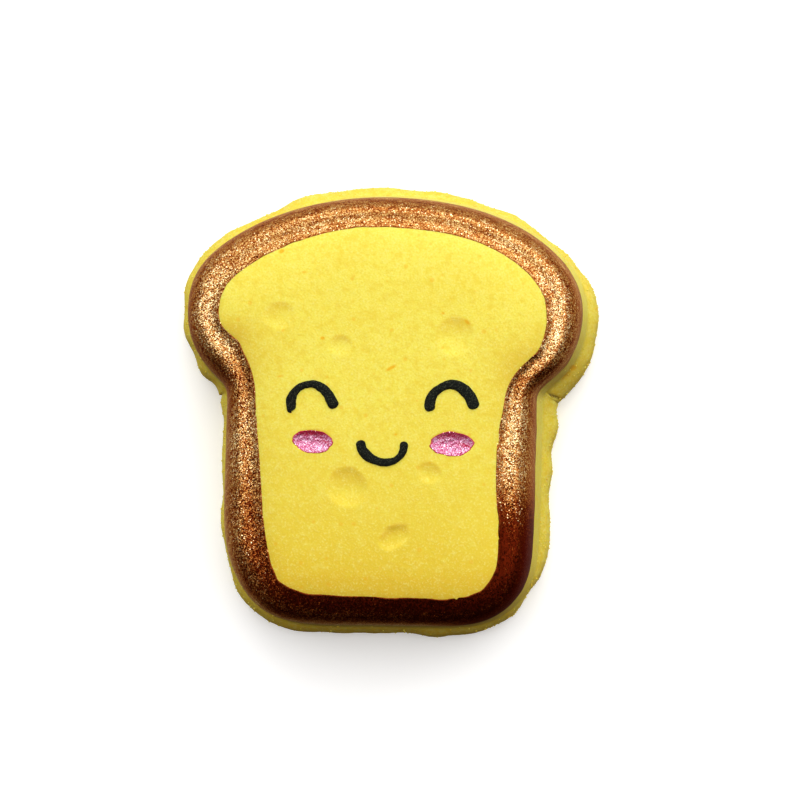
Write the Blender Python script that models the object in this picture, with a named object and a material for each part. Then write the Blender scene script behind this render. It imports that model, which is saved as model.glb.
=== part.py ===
"""A toast-shaped bath bomb, pressed from yellow powder, with a painted crust and a painted smiling face.

It lies on its flat back with the face up, and its crown points to +Y. The origin is the middle of its
box, on the surface that it lies on. Named sizes are in millimetres, and MM turns them into metres.

Run it with: blender --background --python part.py
"""

import math
from collections import namedtuple

import bmesh
import bpy
import numpy as np
from mathutils import Matrix, Vector
from mathutils.bvhtree import BVHTree

MM = 0.001
NAME = "toast"

# Heights above the surface that it lies on
WALL_FOOT = 8.9
RIM_EDGE = 17.0
FACE_EDGE = 23.1
FACE_TOP = 24.6

# The smooth pressed wall leans out this far between the rim's edge and the wall's foot
WALL_LEAN = 0.9

# Points round each section of the body, and round the face's border where its height is worked out
POINTS_ROUND = 132
BORDER_POINTS = 720

# The outline as it is seen from above: the crust's outer edge, the width of the painted crust inside it,
# and the width of the wall and the rough flange outside it
Station = namedtuple("Station", "x y crust flange")
STATIONS = (
    Station(26.0, 0.6, 5.4, 3.4),
    Station(26.5, 3.5, 4.8, 3.4),
    Station(30.7, 7.5, 5.1, 3.2),
    Station(33.8, 15.8, 5.9, 2.5),
    Station(32.1, 23.2, 5.9, 2.0),
    Station(25.6, 29.8, 5.6, 1.5),
    Station(16.0, 34.3, 5.4, 2.1),
    Station(4.4, 36.4, 5.5, 2.3),
    Station(-7.2, 36.2, 5.5, 2.7),
    Station(-18.8, 33.4, 6.0, 2.4),
    Station(-27.8, 28.6, 6.2, 2.5),
    Station(-32.9, 22.4, 6.3, 2.7),
    Station(-33.1, 12.4, 6.4, 2.4),
    Station(-29.3, 6.4, 7.3, 2.4),
    Station(-27.3, 4.1, 5.9, 2.8),
    Station(-27.0, 0.6, 5.7, 2.5),
    Station(-27.4, -12.2, 7.0, 1.9),
    Station(-26.9, -23.9, 7.6, 2.1),
    Station(-23.0, -32.0, 6.7, 2.6),
    Station(-16.8, -35.7, 5.5, 2.5),
    Station(-5.3, -36.5, 4.8, 2.2),
    Station(7.7, -36.6, 4.7, 2.4),
    Station(17.6, -35.5, 5.0, 2.2),
    Station(23.6, -30.3, 5.4, 1.5),
    Station(25.4, -22.3, 5.6, 2.4),
    Station(25.8, -9.2, 6.4, 2.4),
)

# Sections of the rough flange, where the powder was pressed out of the mould and scraped off:
# height, share of the flange's width, share of its raggedness
FLANGE_SECTIONS = (
    (0.0, 0.62, 0.6),
    (1.3, 0.93, 1.0),
    (4.6, 1.0, 1.0),
    (7.2, 0.86, 0.8),
    (8.3, 0.4, 0.4),
)
RAGGED_DEPTH = 0.17
RAGGED_WAVES = (9, 44)
RAGGED_SEED = 11

# The crust's profile, from its outer edge (0) to the face (1), and the height there.
# On the crown and the sides it is a soft bead. At the foot of the slice it only slopes up.
BEAD_PROFILE = (
    (0.0, 17.0),
    (0.045, 18.9),
    (0.16, 20.8),
    (0.31, 22.1),
    (0.5, 22.65),
    (0.72, 22.6),
    (0.88, 22.8),
    (1.0, 23.1),
)
FOOT_PROFILE = (
    (0.0, 17.0),
    (0.045, 18.7),
    (0.16, 20.4),
    (0.31, 21.45),
    (0.5, 22.1),
    (0.72, 22.62),
    (0.88, 22.9),
    (1.0, 23.1),
)
CRUST_SECTIONS = 9
CRUST_WIDTH = 5.7
FOOT_Y = (-33.0, -22.0)

# The face is a low pillow, with rings at these shares of the way out from its middle.
# It rises from its border over about twice this distance.
FACE_RINGS = (0.94, 0.87, 0.78, 0.66, 0.5, 0.33, 0.17)
PILLOW_REACH = 3.6

# Hollows in the face: x, y, length, width, depth, turn in degrees
Hollow = namedtuple("Hollow", "name x y length width depth turn")
DIMPLES = (
    Hollow("dimple_mouth", -5.6, -12.8, 6.8, 6.8, 0.75, 0.0),
    Hollow("dimple_brow", 12.6, 12.6, 6.4, 6.6, 0.6, 0.0),
    Hollow("dimple_chin", 2.3, -21.1, 5.6, 3.8, 0.6, 35.0),
    Hollow("dimple_lobe", -17.2, 16.2, 5.4, 4.8, 0.35, 0.0),
    Hollow("dimple_cheek", 8.2, -10.4, 4.2, 3.6, 0.3, 0.0),
    Hollow("dimple_crumb", -6.8, 11.2, 4.0, 3.4, 0.25, 0.0),
)
CHEEKS = (
    Hollow("cheek_left", -11.5, -5.1, 6.7, 3.8, 0.75, 0.0),
    Hollow("cheek_right", 12.0, -5.5, 7.2, 4.0, 0.75, -3.0),
)
# How much of an ellipsoid a hollow takes: a small share makes a shallow, open hollow
DIMPLE_SHARE = 0.14
CHEEK_SHARE = 0.4
CUTTER_SIDES = 28

# Painted strokes stand proud of the face: x and y of points along each, and its width
Stroke = namedtuple("Stroke", "name width points")
STROKES = (
    Stroke("eye_left", 1.6, ((-15.1, 0.8), (-14.6, 3.4), (-11.8, 4.6), (-9.2, 3.4), (-7.9, 1.2))),
    Stroke("eye_right", 1.7, ((8.3, 1.0), (9.0, 2.9), (11.9, 4.5), (14.8, 3.2), (15.8, 1.2))),
    Stroke("smile", 1.5, ((-3.3, -5.6), (-2.4, -7.2), (1.3, -8.7), (3.8, -6.8), (4.0, -5.9))),
)
STROKE_HEIGHT = 0.45
STROKE_POINTS = 15

# Linear colours, roughness and metallic value of each finish
FINISHES = {
    "yellow_powder": ((0.88, 0.74, 0.12), 0.9, 0.0),
    "copper_paint": ((0.45, 0.17, 0.05), 0.35, 0.8),
    "black_paint": ((0.012, 0.012, 0.01), 0.7, 0.0),
    "pink_paint": ((0.72, 0.16, 0.36), 0.4, 0.5),
}


def clear_scene():
    """Removes every object that the scene starts with."""
    for obj in list(bpy.data.objects):
        bpy.data.objects.remove(obj, do_unlink=True)


def make_collection(name, hidden=False):
    collection = bpy.data.collections.new(name)
    collection.hide_render = hidden
    bpy.context.scene.collection.children.link(collection)
    return collection


def make_finish(name):
    colour, roughness, metallic = FINISHES[name]
    material = bpy.data.materials.new(name)
    material.use_nodes = True
    shader = material.node_tree.nodes["Principled BSDF"]
    shader.inputs["Base Color"].default_value = (*colour, 1.0)
    shader.inputs["Roughness"].default_value = roughness
    shader.inputs["Metallic"].default_value = metallic
    material.diffuse_color = (*colour, 1.0)
    return material


def natural_spline(knots, values, at):
    """Cubic spline through the values (one row for each knot), read at the given places."""
    gap = np.diff(knots)
    count = len(knots)
    matrix = np.eye(count)
    right = np.zeros_like(values)
    slope = np.diff(values, axis=0) / gap[:, None]
    for i in range(1, count - 1):
        matrix[i, i - 1 : i + 2] = gap[i - 1], 2 * (gap[i - 1] + gap[i]), gap[i]
        right[i] = 6 * (slope[i] - slope[i - 1])
    bend = np.linalg.solve(matrix, right)
    cell = np.clip(np.searchsorted(knots, at, side="right") - 1, 0, count - 2)
    width = gap[cell][:, None]
    before = (knots[cell + 1] - at)[:, None] / width
    after = 1 - before
    curve = before * values[cell] + after * values[cell + 1]
    curve += ((before**3 - before) * bend[cell] + (after**3 - after) * bend[cell + 1]) * width**2 / 6
    return curve


def curve_through(points, count, closed=False, stretch=(1.0, 1.0)):
    """Points spread along a smooth curve. Its first two columns are places, and the rest follow them."""
    values = np.array(points, float)
    turns = len(values)
    if closed:
        values = np.vstack([values, values, values, values[:1]])
    steps = np.linalg.norm(np.diff(values[:, :2] * stretch, axis=0), axis=1)
    knots = np.concatenate([[0.0], np.cumsum(np.sqrt(steps))])
    if closed:
        at = np.linspace(knots[turns], knots[2 * turns], count, endpoint=False)
    else:
        at = np.linspace(knots[0], knots[-1], count)
    return natural_spline(knots, values, at)


def outline(count):
    """The crust's outer edge, its outward normals, and the crust's and the flange's widths along it."""
    curve = curve_through(STATIONS, count, closed=True)
    edge = curve[:, :2]
    along = np.roll(edge, -1, axis=0) - np.roll(edge, 1, axis=0)
    normal = np.stack([along[:, 1], -along[:, 0]], axis=1)
    normal /= np.linalg.norm(normal, axis=1)[:, None]
    return edge, normal, curve[:, 2:3], curve[:, 3:4]


def raggedness(count):
    """How far the rough flange strays from its line: waves with seeded heights and phases, no bias."""
    draw = np.random.default_rng(RAGGED_SEED)
    turn = np.linspace(0, 2 * math.pi, count, endpoint=False)
    first, last = RAGGED_WAVES
    stray = np.zeros(count)
    for wave in range(first, last):
        stray += draw.normal() * np.cos(wave * turn + draw.uniform(0, 2 * math.pi)) / math.sqrt(wave)
    return (RAGGED_DEPTH * stray / stray.std())[:, None]


def level(places, height):
    """A section of places at one height, or at one height each."""
    return np.column_stack([places, np.broadcast_to(height, len(places))])


def wall_sections(edge, normal, flange):
    """Sections of the flange and of the smooth wall, from the bottom up to the crust's edge."""
    stray = raggedness(len(edge))
    sections = []
    for height, share, rough in FLANGE_SECTIONS:
        reach = WALL_LEAN + share * (flange - WALL_LEAN) + rough * stray
        sections.append(level(edge + normal * reach, height))
    for height in (WALL_FOOT, (WALL_FOOT + RIM_EDGE) / 2):
        lean = WALL_LEAN * (RIM_EDGE - height) / (RIM_EDGE - WALL_FOOT)
        sections.append(level(edge + normal * lean, height))
    return sections


def crust_sections(edge, normal, crust):
    """Sections over the painted crust, from its outer edge to the face."""
    low, high = FOOT_Y
    bead = np.clip((edge[:, 1] - low) / (high - low), 0, 1)
    bead = bead * bead * (3 - 2 * bead)
    stretch = (CRUST_WIDTH, 1.0)
    beads = curve_through(BEAD_PROFILE, CRUST_SECTIONS, stretch=stretch)
    feet = curve_through(FOOT_PROFILE, CRUST_SECTIONS, stretch=stretch)
    sections = []
    for (bead_in, bead_height), (foot_in, foot_height) in zip(beads, feet):
        inward = foot_in + (bead_in - foot_in) * bead
        height = foot_height + (bead_height - foot_height) * bead
        sections.append(level(edge - normal * crust * inward[:, None], height))
    return sections


def border_distance(places):
    """Distance from the face's border, rounded off where several stretches of it are near."""
    edge, normal, crust, _ = outline(BORDER_POINTS)
    border = edge - normal * crust
    step = np.linalg.norm(np.roll(border, -1, axis=0) - border, axis=1)
    gap = np.linalg.norm(places[:, None] - border[None], axis=2)
    return np.sqrt(2 / (step / np.maximum(gap, 0.01) ** 3).sum(axis=1))


def pillow_height(places):
    """The height of the bare face, which rises from its border to a low pillow."""
    return FACE_EDGE + (FACE_TOP - FACE_EDGE) * (1 - np.exp(-border_distance(places) / PILLOW_REACH))


def face_sections(border):
    """Rings over the face, inside its border."""
    rings = [border[:, :2] * share for share in FACE_RINGS]
    return [level(ring, pillow_height(ring)) for ring in rings]


def loft_body(finishes):
    """The pressed body: a loft through all its sections, with the painted crust in its own finish."""
    edge, normal, crust, flange = outline(POINTS_ROUND)
    walls = wall_sections(edge, normal, flange)
    crusts = crust_sections(edge, normal, crust)
    faces = face_sections(crusts[-1])
    bm = bmesh.new()
    rings = [[bm.verts.new(point * MM) for point in section] for section in walls + crusts + faces]
    bm.faces.new(reversed(rings[0]))
    painted = range(len(walls), len(walls) + len(crusts) - 1)
    for number, (lower, upper) in enumerate(zip(rings, rings[1:])):
        for i, vertex in enumerate(lower):
            after = (i + 1) % len(lower)
            face = bm.faces.new((vertex, lower[after], upper[after], upper[i]))
            face.material_index = 1 if number in painted else 0
            face.smooth = True
    middle = bm.verts.new((0.0, 0.0, pillow_height(np.zeros((1, 2)))[0] * MM))
    for i, vertex in enumerate(rings[-1]):
        bm.faces.new((vertex, rings[-1][(i + 1) % len(rings[-1])], middle)).smooth = True
    mesh = bpy.data.meshes.new(NAME)
    bm.to_mesh(mesh)
    bm.free()
    mesh.materials.append(finishes["yellow_powder"])
    mesh.materials.append(finishes["copper_paint"])
    return bpy.data.objects.new(NAME, mesh)


class Ground:
    """Reads the height of the bare face under a place."""

    def __init__(self, body):
        bm = bmesh.new()
        bm.from_mesh(body.data)
        self.tree = BVHTree.FromBMesh(bm)
        bm.free()

    def height(self, x, y):
        above = Vector((x * MM, y * MM, 2 * FACE_TOP * MM))
        return self.tree.ray_cast(above, Vector((0, 0, -1)))[0].z / MM


def make_hollow(hollow, share, ground, finish):
    """An ellipsoid that takes a shallow bowl of the given length, width and depth out of the face."""
    mesh = bpy.data.meshes.new(hollow.name)
    bm = bmesh.new()
    bmesh.ops.create_uvsphere(bm, u_segments=CUTTER_SIDES, v_segments=CUTTER_SIDES // 2 + 4, radius=1.0)
    mouth = math.sqrt(1 - (1 - share) ** 2)
    radii = Vector((hollow.length / 2 / mouth, hollow.width / 2 / mouth, hollow.depth / share)) * MM
    centre = Vector((hollow.x, hollow.y, ground.height(hollow.x, hollow.y) - hollow.depth)) * MM
    centre.z += radii.z
    place = Matrix.Translation(centre) @ Matrix.Rotation(math.radians(hollow.turn), 4, "Z")
    bmesh.ops.transform(bm, matrix=place @ Matrix.Diagonal((*radii, 1.0)), verts=bm.verts)
    bm.to_mesh(mesh)
    bm.free()
    mesh.materials.append(finish)
    obj = bpy.data.objects.new(hollow.name, mesh)
    obj.hide_render = True
    obj.display_type = "WIRE"
    return obj


def make_stroke(stroke, ground, finish):
    """A painted stroke: a round bead along the face, sunk so far that the stated width shows."""
    radius = (stroke.width**2 / 4 + STROKE_HEIGHT**2) / (2 * STROKE_HEIGHT)
    data = bpy.data.curves.new(stroke.name, "CURVE")
    data.dimensions = "3D"
    data.bevel_depth = radius * MM
    data.bevel_resolution = 2
    data.use_fill_caps = True
    route = curve_through(stroke.points, STROKE_POINTS)
    spline = data.splines.new("POLY")
    spline.points.add(len(route) - 1)
    for point, (x, y) in zip(spline.points, route):
        z = ground.height(x, y) + STROKE_HEIGHT - radius
        point.co = (x * MM, y * MM, z * MM, 1.0)
    data.materials.append(finish)
    return bpy.data.objects.new(stroke.name, data)


def curve_to_mesh(obj, collection):
    """Puts a mesh with welded caps in the place of a curve object."""
    graph = bpy.context.evaluated_depsgraph_get()
    mesh = bpy.data.meshes.new_from_object(obj.evaluated_get(graph))
    bm = bmesh.new()
    bm.from_mesh(mesh)
    bmesh.ops.remove_doubles(bm, verts=bm.verts, dist=0.001 * MM)
    bmesh.ops.recalc_face_normals(bm, faces=bm.faces)
    bm.to_mesh(mesh)
    bm.free()
    solid = bpy.data.objects.new(obj.name + "_bead", mesh)
    solid.matrix_world = obj.matrix_world
    collection.objects.link(solid)
    bpy.data.objects.remove(obj, do_unlink=True)
    return solid


def combine(body, collection, operation):
    """Applies one Boolean of the body with all of a collection, and removes the collection's objects."""
    modifier = body.modifiers.new(operation.title(), "BOOLEAN")
    modifier.operation = operation
    modifier.operand_type = "COLLECTION"
    modifier.collection = collection
    modifier.solver = "EXACT"
    modifier.material_mode = "TRANSFER"
    graph = bpy.context.evaluated_depsgraph_get()
    mesh = bpy.data.meshes.new_from_object(body.evaluated_get(graph))
    body.modifiers.clear()
    body.data = mesh
    for obj in list(collection.objects):
        bpy.data.objects.remove(obj, do_unlink=True)


def centre_over_origin(body):
    """Moves the mesh so that the middle of its box is over the origin, with its flat back at height 0."""
    places = np.array([vertex.co for vertex in body.data.vertices])
    low, high = places.min(axis=0), places.max(axis=0)
    shift = Vector((-(low[0] + high[0]) / 2, -(low[1] + high[1]) / 2, -low[2]))
    body.data.transform(Matrix.Translation(shift))


def main():
    clear_scene()
    parts = make_collection(NAME)
    cutters = make_collection("hollow_cutters", hidden=True)
    beads = make_collection("stroke_beads")
    finishes = {name: make_finish(name) for name in FINISHES}
    body = loft_body(finishes)
    parts.objects.link(body)
    ground = Ground(body)
    for dimple in DIMPLES:
        cutters.objects.link(make_hollow(dimple, DIMPLE_SHARE, ground, finishes["yellow_powder"]))
    for cheek in CHEEKS:
        cutters.objects.link(make_hollow(cheek, CHEEK_SHARE, ground, finishes["pink_paint"]))
    combine(body, cutters, "DIFFERENCE")
    for stroke in STROKES:
        line = make_stroke(stroke, ground, finishes["black_paint"])
        beads.objects.link(line)
        curve_to_mesh(line, beads)
    combine(body, beads, "UNION")
    centre_over_origin(body)
    body.data.name = NAME


main()
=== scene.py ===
"""The looks of a toast-shaped bath bomb: pressed yellow powder, a copper-brushed crust and a painted face.

It lies on its back with the face up, and its crown points to +Y. Lengths in the classes are in
millimetres, and MM turns them into the scene's metres. Every finished mesh is placed in its own vertices.
"""

import logging
import math
from dataclasses import dataclass
from enum import Enum
from typing import NamedTuple, Sequence

import bmesh
import bpy
import numpy as np
from bpy.types import ID, GeometryNodeTree, Material, Mesh, Node, NodeSocket, NodeTree, Object, World
from mathutils import Matrix, Vector, noise
from mathutils.geometry import delaunay_2d_cdt


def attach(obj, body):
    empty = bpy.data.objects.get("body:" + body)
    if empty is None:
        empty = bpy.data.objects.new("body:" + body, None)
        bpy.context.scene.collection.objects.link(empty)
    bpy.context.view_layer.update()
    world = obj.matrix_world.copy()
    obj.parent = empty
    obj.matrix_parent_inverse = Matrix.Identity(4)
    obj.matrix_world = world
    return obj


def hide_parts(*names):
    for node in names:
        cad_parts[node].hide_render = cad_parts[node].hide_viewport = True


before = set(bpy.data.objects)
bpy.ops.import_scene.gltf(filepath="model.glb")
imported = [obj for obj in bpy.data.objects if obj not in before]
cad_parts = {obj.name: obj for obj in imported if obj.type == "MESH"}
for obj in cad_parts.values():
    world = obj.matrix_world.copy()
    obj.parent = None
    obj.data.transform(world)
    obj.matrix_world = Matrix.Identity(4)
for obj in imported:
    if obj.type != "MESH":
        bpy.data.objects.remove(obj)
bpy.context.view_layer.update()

MM = 0.001
BODY = "root"
NODE = "toast"
CHUNK = 4000

log = logging.getLogger("toast")

Array = np.ndarray
Pair = tuple[float, float]
Triple = tuple[float, float, float]
Faces = list[tuple[int, ...]]


class Slot(Enum):
    """The material slots' names."""

    POWDER = "yellow_powder"
    COPPER = "copper_paint"
    BLACK = "black_paint"
    PINK = "pink_paint"


class Station(NamedTuple):
    """One place on the crust's outer edge, with the widths inside and outside it."""

    x: float
    y: float
    crust: float
    flange: float


class Hollow(NamedTuple):
    """A bowl in the face: its middle, its size, its depth and its turn in degrees."""

    x: float
    y: float
    length: float
    width: float
    depth: float
    turn: float


class Spot(NamedTuple):
    """A speck or smear of undissolved dye on the powder."""

    x: float
    y: float
    length: float
    width: float
    turn: float
    strength: float


class Stroke(NamedTuple):
    """A painted line on the face: places along it, its width there, and how slanted its first end is."""

    name: str
    points: tuple[Triple, ...]
    slant: float


# Numbers and curves


def natural_spline(knots: Array, values: Array, at: Array) -> Array:
    """Cubic spline through rows of values.

    Args:
        knots: rising places of the rows.
        values: one row for each knot.
        at: places to read.

    Returns:
        One row for each place.
    """
    gap = np.diff(knots)
    count = len(knots)
    matrix = np.eye(count)
    right = np.zeros_like(values)
    slope = np.diff(values, axis=0) / gap[:, None]
    for i in range(1, count - 1):
        matrix[i, i - 1 : i + 2] = gap[i - 1], 2 * (gap[i - 1] + gap[i]), gap[i]
        right[i] = 6 * (slope[i] - slope[i - 1])
    bend = np.linalg.solve(matrix, right)
    cell = np.clip(np.searchsorted(knots, at, side="right") - 1, 0, count - 2)
    width = gap[cell][:, None]
    before = (knots[cell + 1] - at)[:, None] / width
    after = 1 - before
    curve = before * values[cell] + after * values[cell + 1]
    return curve + ((before**3 - before) * bend[cell] + (after**3 - after) * bend[cell + 1]) * width**2 / 6


def curve_through(
    points: Sequence[Sequence[float]],
    count: int,
    closed: bool = False,
    stretch: Pair = (1.0, 1.0),
) -> Array:
    """Rows spread along a smooth curve through the given ones.

    Args:
        points: rows whose first two columns are places, and the rest follow them.
        count: how many rows to make.
        closed: whether the curve ends where it starts.
        stretch: how the two columns count towards length.

    Returns:
        The rows.
    """
    values = np.array(points, float)
    number = len(values)
    if closed:
        values = np.vstack([values, values, values, values[:1]])
    steps = np.linalg.norm(np.diff(values[:, :2] * stretch, axis=0), axis=1)
    knots = np.concatenate([[0.0], np.cumsum(np.sqrt(steps))])
    if closed:
        at = np.linspace(knots[number], knots[2 * number], count, endpoint=False)
    else:
        at = np.linspace(knots[0], knots[-1], count)
    return natural_spline(knots, values, at)


def smooth_step(value: Array | float, low: Array | float, high: Array | float) -> Array:
    """Goes from 0 at low to 1 at high, flat at both ends."""
    share = np.clip((value - low) / (high - low), 0, 1)
    return share * share * (3 - 2 * share)


def hump(value: Array, middle: float, width: float) -> Array:
    """1 at the middle, and almost 0 from two widths away on."""
    return np.exp(-(((value - middle) / width) ** 2))


def turns(count: int) -> Array:
    """So many even angles round a circle."""
    return np.linspace(0, 2 * math.pi, count, endpoint=False)


def raised(flat: Array, height: Array | float) -> Array:
    """Places in the plane, lifted to a height."""
    return np.column_stack([flat[:, :2], np.broadcast_to(height, len(flat))])


def oval_radius(places: Array, oval: Hollow | Spot) -> Array:
    """How far out each place is in an oval.

    Args:
        places: rows that start with x and y.
        oval: the hollow or the spot.

    Returns:
        0 in its middle and 1 at its rim.
    """
    turn = math.radians(oval.turn)
    away = places[:, :2] - (oval.x, oval.y)
    along = (away[:, 0] * math.cos(turn) + away[:, 1] * math.sin(turn)) / (oval.length / 2)
    across = (away[:, 1] * math.cos(turn) - away[:, 0] * math.sin(turn)) / (oval.width / 2)
    return np.hypot(along, across)


def dyed(places: Array, spots: Sequence[Spot]) -> Array:
    """How much undissolved dye shows at each place."""
    return np.max([spot.strength * np.exp(-(oval_radius(places, spot) ** 2)) for spot in spots], axis=0)


def waves(count: int, first: int, last: int, seed: int) -> Array:
    """A closed line of seeded waves, with a spread of 1.

    Args:
        count: how many places round the line.
        first: the longest wave, as how many fit round.
        last: one past the shortest.
        seed: of the heights and phases.

    Returns:
        The value at each place.
    """
    draw = np.random.default_rng(seed)
    total = np.zeros(count)
    for wave in range(first, last):
        total += draw.normal() * np.cos(wave * turns(count) + draw.uniform(0, 2 * math.pi)) / math.sqrt(wave)
    return total / total.std()


def clouds(places: Array, size: float, seed: int) -> Array:
    """Soft noise between about -1 and 1 at places in millimetres.

    Args:
        places: rows of x, y and z.
        size: the width of its lumps.
        seed: shifts the pattern.

    Returns:
        The value at each place.
    """
    moved = places / size + np.array([17.3, -9.1, 5.7]) * (seed + 1)
    return np.array([noise.noise(place) for place in moved.tolist()])


def lumpy(places: Array, lumps: Sequence[Pair], seed: int) -> Array:
    """Lumps of several sizes on top of one another.

    Args:
        places: rows of x, y and z.
        lumps: the width and the height of each size.
        seed: of the first.

    Returns:
        The height at each place.
    """
    return sum(clouds(places, size, seed + i) * depth for i, (size, depth) in enumerate(lumps))


# The shared form


@dataclass(frozen=True)
class Ring:
    """The crust's outer edge, sampled: places, outward normals, and the crust's and flange's widths."""

    edge: Array
    normal: Array
    crust: Array
    flange: Array

    @property
    def border(self) -> Array:
        """Where the crust meets the face."""
        return self.edge - self.normal * self.crust


@dataclass(frozen=True)
class Form:
    """The slice's own shape, which every piece follows. It repeats the CAD part's driving sizes."""

    stations: tuple[Station, ...] = (
        Station(26.0, 0.6, 5.4, 3.4),
        Station(26.5, 3.5, 4.8, 3.4),
        Station(30.7, 7.5, 5.1, 3.2),
        Station(33.8, 15.8, 5.9, 2.5),
        Station(32.1, 23.2, 5.9, 2.0),
        Station(25.6, 29.8, 5.6, 1.5),
        Station(16.0, 34.3, 5.4, 2.1),
        Station(4.4, 36.4, 5.5, 2.3),
        Station(-7.2, 36.2, 5.5, 2.7),
        Station(-18.8, 33.4, 6.0, 2.4),
        Station(-27.8, 28.6, 6.2, 2.5),
        Station(-32.9, 22.4, 6.3, 2.7),
        Station(-33.1, 12.4, 6.4, 2.4),
        Station(-29.3, 6.4, 7.3, 2.4),
        Station(-27.3, 4.1, 5.9, 2.8),
        Station(-27.0, 0.6, 5.7, 2.5),
        Station(-27.4, -12.2, 7.0, 1.9),
        Station(-26.9, -23.9, 7.6, 2.1),
        Station(-23.0, -32.0, 6.7, 2.6),
        Station(-16.8, -35.7, 5.5, 2.5),
        Station(-5.3, -36.5, 4.8, 2.2),
        Station(7.7, -36.6, 4.7, 2.4),
        Station(17.6, -35.5, 5.0, 2.2),
        Station(23.6, -30.3, 5.4, 1.5),
        Station(25.4, -22.3, 5.6, 2.4),
        Station(25.8, -9.2, 6.4, 2.4),
    )
    wall_foot: float = 8.9
    rim_edge: float = 17.0
    face_edge: float = 23.1
    face_top: float = 24.6
    wall_lean: float = 0.9
    flange_sections: tuple[Triple, ...] = (
        (0.0, 0.62, 0.6),
        (1.3, 0.93, 1.0),
        (4.6, 1.0, 1.0),
        (7.2, 0.86, 0.8),
        (8.3, 0.4, 0.4),
        (8.9, 0.0, 0.0),
    )
    ragged_depth: float = 0.17
    ragged_waves: tuple[int, int] = (9, 44)
    ragged_seed: int = 11
    bead_profile: tuple[Pair, ...] = (
        (0.0, 17.0),
        (0.045, 18.9),
        (0.16, 20.8),
        (0.31, 22.1),
        (0.5, 22.65),
        (0.72, 22.6),
        (0.88, 22.8),
        (1.0, 23.1),
    )
    foot_profile: tuple[Pair, ...] = (
        (0.0, 17.0),
        (0.045, 18.7),
        (0.16, 20.4),
        (0.31, 21.45),
        (0.5, 22.1),
        (0.72, 22.62),
        (0.88, 22.9),
        (1.0, 23.1),
    )
    crust_width: float = 5.7
    foot_low: float = -33.0
    foot_high: float = -22.0
    pillow_reach: float = 3.6
    dimples: tuple[Hollow, ...] = (
        Hollow(-5.6, -12.8, 6.8, 6.8, 0.65, 0.0),
        Hollow(12.6, 12.6, 6.4, 6.6, 0.42, 0.0),
        Hollow(2.3, -21.1, 5.6, 3.8, 0.5, 35.0),
        Hollow(-17.2, 16.2, 5.4, 4.8, 0.28, 0.0),
        Hollow(8.2, -10.4, 4.2, 3.6, 0.3, 0.0),
        Hollow(-6.8, 11.2, 4.0, 3.4, 0.25, 0.0),
    )
    cheeks: tuple[Hollow, ...] = (
        Hollow(-11.5, -5.1, 6.7, 3.8, 0.75, 0.0),
        Hollow(12.0, -5.5, 7.2, 4.0, 0.75, -3.0),
    )
    dimple_share: float = 0.14
    cheek_share: float = 0.4
    dimple_bend: float = 0.24
    bend_size: float = 1.9
    dimple_soft: float = 0.1
    cheek_soft: float = 0.05
    border_points: int = 720

    def ring(self, count: int) -> Ring:
        """The outline, sampled.

        Args:
            count: at how many places.

        Returns:
            The places with their normals and widths.
        """
        curve = curve_through(self.stations, count, closed=True)
        edge = curve[:, :2]
        along = np.roll(edge, -1, axis=0) - np.roll(edge, 1, axis=0)
        normal = np.stack([along[:, 1], -along[:, 0]], axis=1)
        normal /= np.linalg.norm(normal, axis=1)[:, None]
        return Ring(edge, normal, curve[:, 2:3], curve[:, 3:4])

    def ragged(self, count: int) -> Array:
        """How far the rough flange strays from its line."""
        return self.ragged_depth * waves(count, *self.ragged_waves, self.ragged_seed)

    def wall_reach(self, ring: Ring, height: float, stray: Array) -> Array:
        """How far the wall or the flange stands outside the crust's edge.

        Args:
            ring: the outline.
            height: above the back.
            stray: how far the flange strays at each place.

        Returns:
            The distance at each place, in a column.
        """
        if height >= self.wall_foot:
            lean = self.wall_lean * (self.rim_edge - height) / (self.rim_edge - self.wall_foot)
            return np.full((len(ring.edge), 1), lean)
        rows = np.array(self.flange_sections)
        share, rough = natural_spline(rows[:, 0], rows[:, 1:], np.array([height]))[0]
        return self.wall_lean + share * (ring.flange - self.wall_lean) + (rough * stray)[:, None]

    def crust_point(self, ring: Ring, q: float) -> tuple[Array, Array]:
        """Where the crust's surface is, at a share q of the way along its profile.

        Args:
            ring: the outline.
            q: 0 at the outer edge, 1 at the face.

        Returns:
            How far inward each place is, in millimetres, and its height.
        """
        stretch = (self.crust_width, 1.0)
        fine = 65
        at = q * (fine - 1)
        low = int(min(max(math.floor(at), 0), fine - 2))
        part = at - low
        rows = []
        for profile in (self.bead_profile, self.foot_profile):
            curve = curve_through(profile, fine, stretch=stretch)
            rows.append(curve[low] * (1 - part) + curve[low + 1] * part)
        bead = smooth_step(ring.edge[:, 1], self.foot_low, self.foot_high)
        inward = rows[1][0] + (rows[0][0] - rows[1][0]) * bead
        height = rows[1][1] + (rows[0][1] - rows[1][1]) * bead
        return inward[:, None] * ring.crust, height

    def hollow_depth(self, places: Array, hollow: Hollow, share: float, bend: float, soft: float) -> Array:
        """How deep a hollow is below each place.

        Args:
            places: rows that start with x and y.
            hollow: the bowl.
            share: how much of an ellipsoid it takes.
            bend: how far its rim strays.
            soft: how rounded its rim is.

        Returns:
            The depth at each place.
        """
        moved = places[:, :2].copy()
        near = oval_radius(places, hollow) < 2
        if bend and near.any():
            flat = raised(places[near], hollow.x)
            moved[near] += bend * np.column_stack([clouds(flat, self.bend_size, seed) for seed in (50, 51)])
        radius = oval_radius(moved, hollow)
        mouth = 1 - (1 - share) ** 2
        bowl = (np.sqrt(np.clip(1 - mouth * radius**2, 0, None)) - (1 - share)) / share
        return hollow.depth * (bowl + np.sqrt(bowl**2 + soft**2)) / 2 * (radius < 1.6)

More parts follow.
